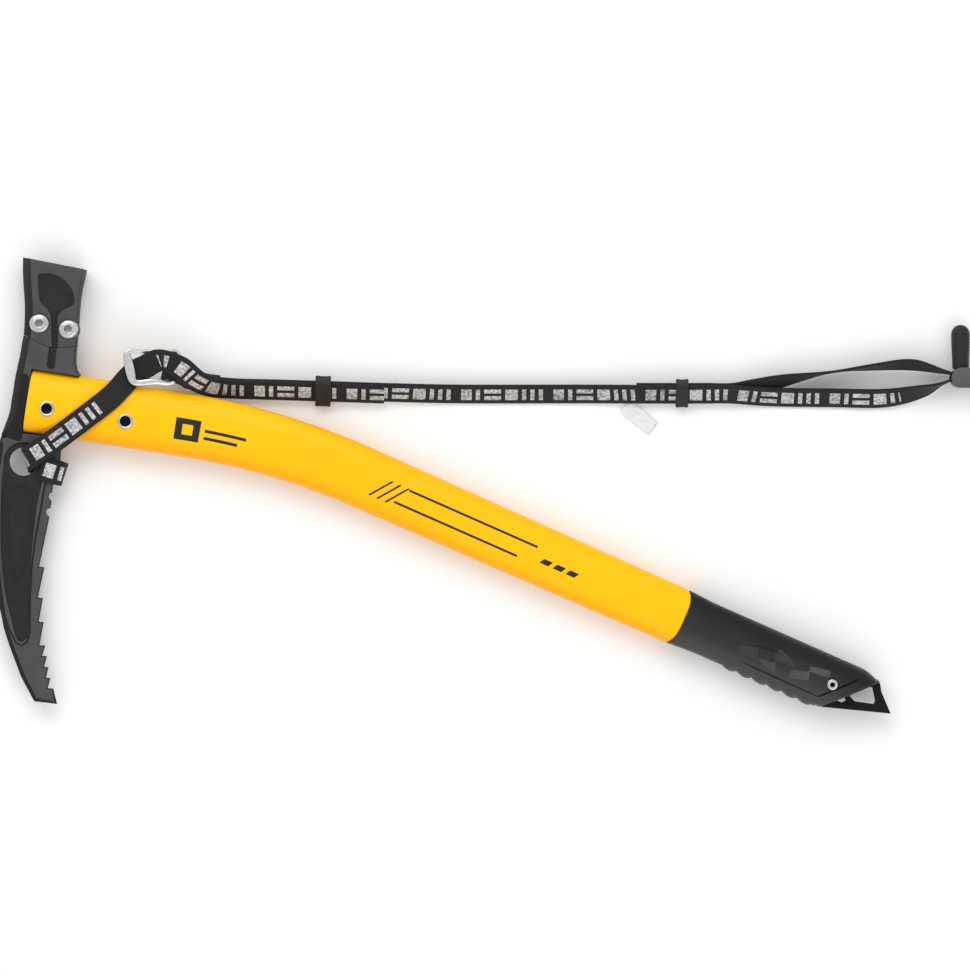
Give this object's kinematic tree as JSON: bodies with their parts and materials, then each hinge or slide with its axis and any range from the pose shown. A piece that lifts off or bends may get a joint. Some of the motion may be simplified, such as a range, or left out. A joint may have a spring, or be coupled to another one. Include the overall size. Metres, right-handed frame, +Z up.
{
  "type": "ice axe",
  "caption": "Mountaineering ice axe with a toothed pick, a bolted hammer head, a bent tube shaft, a rubber grip with spike, and a webbing wrist leash.",
  "frame": {"origin": "middle of the axe's own box, without the leash, on the surface it lies on", "axes": "+Z up out of the surface, +X from the head end to the spike, +Y from the pick's tip to the hammer"},
  "size_m": [0.5197, 0.2383, 0.0307],
  "materials": {
    "forged_steel": "black oxide, satin",
    "hammer_steel": "black, satin",
    "bolt_steel": "bright zinc",
    "shaft_paint": "powder coat, satin yellow",
    "rivet_steel": "bright",
    "grip_rubber": "matt",
    "plug_plastic": "matt",
    "spike_steel": "black",
    "webbing": "woven",
    "buckle_steel": "polished",
    "keeper_rubber": "matt",
    "label_cloth": "woven satin",
    "toggle_plastic": "grey",
    "finger_rubber": "matt"
  },
  "bodies": {
    "axe": {"head": "forged_steel", "hammer": "hammer_steel", "hammer_bolt_a": "bolt_steel", "hammer_bolt_b": "bolt_steel", "hammer_nut_a": "bolt_steel", "hammer_nut_b": "bolt_steel", "shaft_tube": "shaft_paint", "shaft_plug": "shaft_paint", "head_rivet_a": "rivet_steel", "head_rivet_b": "rivet_steel", "grip": "grip_rubber", "spike_plug": "plug_plastic", "spike": "spike_steel", "spike_rivet": "rivet_steel", "head_strap": "webbing", "wrist_strap": "webbing", "buckle": "buckle_steel", "label": "label_cloth", "toggle_body": "toggle_plastic", "toggle_finger": "finger_rubber"},
    "keeper_buckle": {"keeper_buckle": "keeper_rubber"},
    "keeper_wrist": {"keeper_wrist": "keeper_rubber"}
  },
  "joints": [
    {"name": "keeper_buckle_slide", "type": "slide", "parent": "axe", "child": "keeper_buckle", "axis": [0.9995, -0.0325, 0], "range_m": [-0.028, 0.025]},
    {"name": "keeper_wrist_slide", "type": "slide", "parent": "axe", "child": "keeper_wrist", "axis": [1, 0, 0], "range_m": [-0.014, 0.016]}
  ]
}
